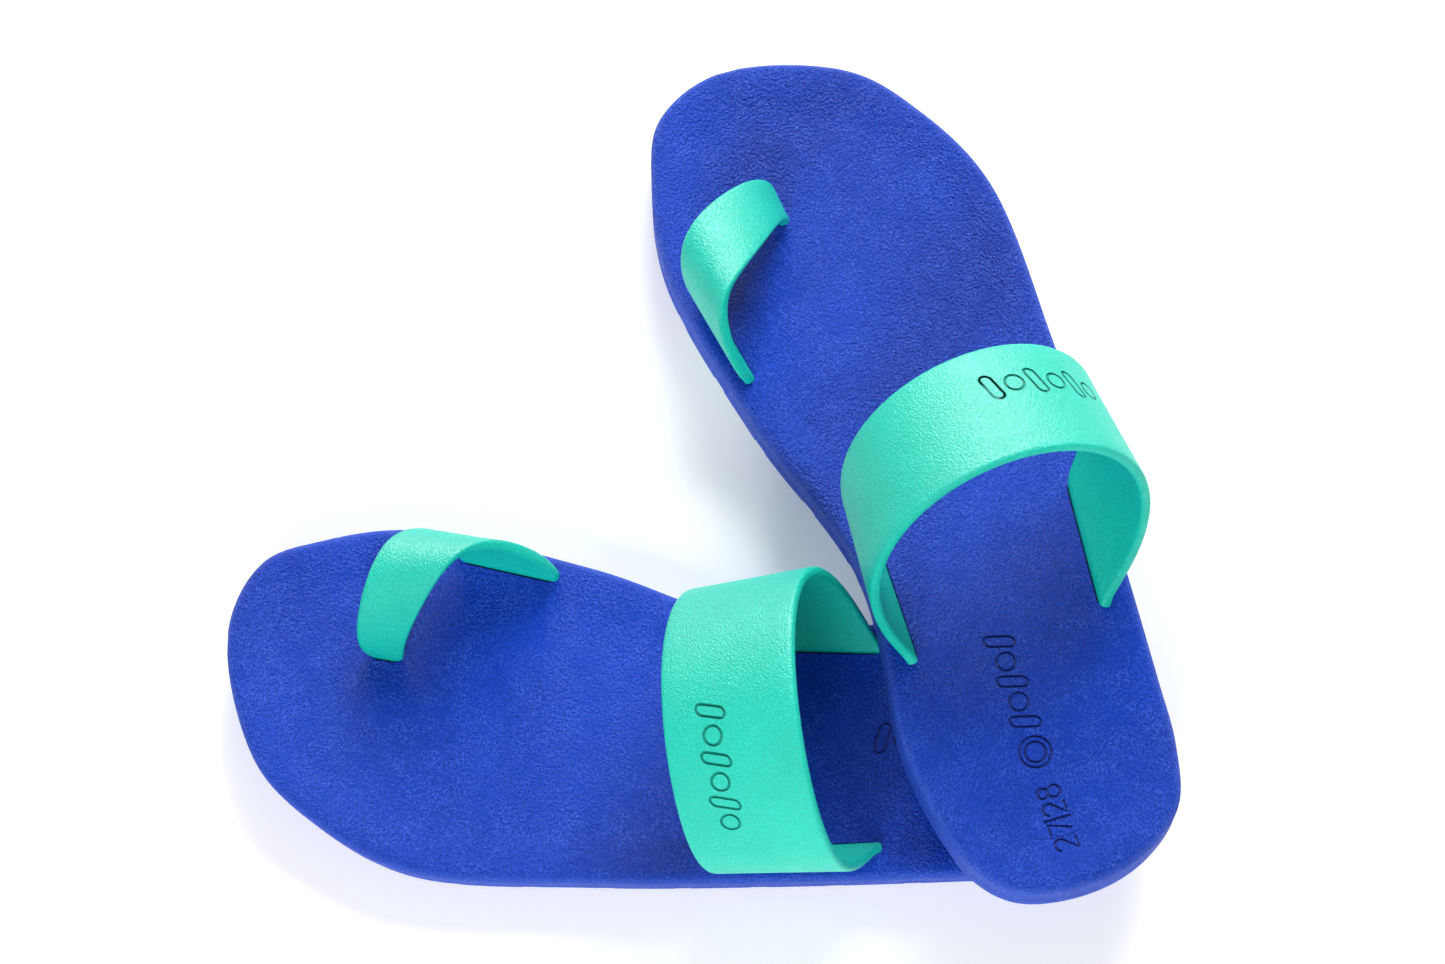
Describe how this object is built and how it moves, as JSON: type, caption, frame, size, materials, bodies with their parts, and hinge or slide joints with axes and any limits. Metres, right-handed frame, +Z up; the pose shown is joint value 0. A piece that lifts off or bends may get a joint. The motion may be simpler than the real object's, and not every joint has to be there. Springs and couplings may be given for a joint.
{
  "type": "flip flop",
  "caption": "Pair of flat sandals, one lying across the other's heel: dished footbed on a grooved outsole, a toe loop and a wide instep strap held by keeper plates under the sole.",
  "frame": {"origin": "bottom centre of the pair's bounding box, on the ground", "axes": "+X from the left sandal's heel to its toe, the pair's longest side; +Z up, its shortest; +Y to the left sandal's outer side"},
  "size_m": [0.1922, 0.176, 0.0699],
  "materials": {
    "sole_blue": "satin foam rubber with a fine pebble grain",
    "strap_mint": "satin soft plastic with a fine grain",
    "keeper_plastic": "plain matte moulding"
  },
  "bodies": {
    "left_sandal": {"left_footbed_rear": "sole_blue", "left_outsole_rear": "sole_blue", "left_instep_strap": "strap_mint", "left_keeper_instep_medial": "keeper_plastic", "left_keeper_instep_lateral": "keeper_plastic"},
    "left_forefoot": {"left_footbed_fore": "sole_blue", "left_outsole_fore": "sole_blue", "left_toe_loop": "strap_mint", "left_keeper_toe_medial": "keeper_plastic", "left_keeper_toe_inner": "keeper_plastic"},
    "right_sandal": {"right_footbed_rear": "sole_blue", "right_outsole_rear": "sole_blue", "right_instep_strap": "strap_mint", "right_keeper_instep_medial": "keeper_plastic", "right_keeper_instep_lateral": "keeper_plastic"},
    "right_forefoot": {"right_footbed_fore": "sole_blue", "right_outsole_fore": "sole_blue", "right_toe_loop": "strap_mint", "right_keeper_toe_medial": "keeper_plastic", "right_keeper_toe_inner": "keeper_plastic"}
  },
  "joints": [
    {"name": "left_toe_flex", "type": "hinge", "parent": "left_sandal", "child": "left_forefoot", "pos_m": [0.01801, 0.04956, 0.0115], "axis": [0, -1, 0], "range_deg": [0, 35], "stiffness_Nm_per_rad": 0.6},
    {"name": "right_sandal_lift", "type": "slide", "parent": "left_sandal", "child": "right_sandal", "axis": [0, 0, 1], "range_m": [0, 0.12]},
    {"name": "right_toe_flex", "type": "hinge", "parent": "right_sandal", "child": "right_forefoot", "pos_m": [-0.04012, -0.01575, 0.01778], "axis": [-0.9541, -0.2924, -0.0651], "range_deg": [0, 35], "stiffness_Nm_per_rad": 0.6}
  ]
}
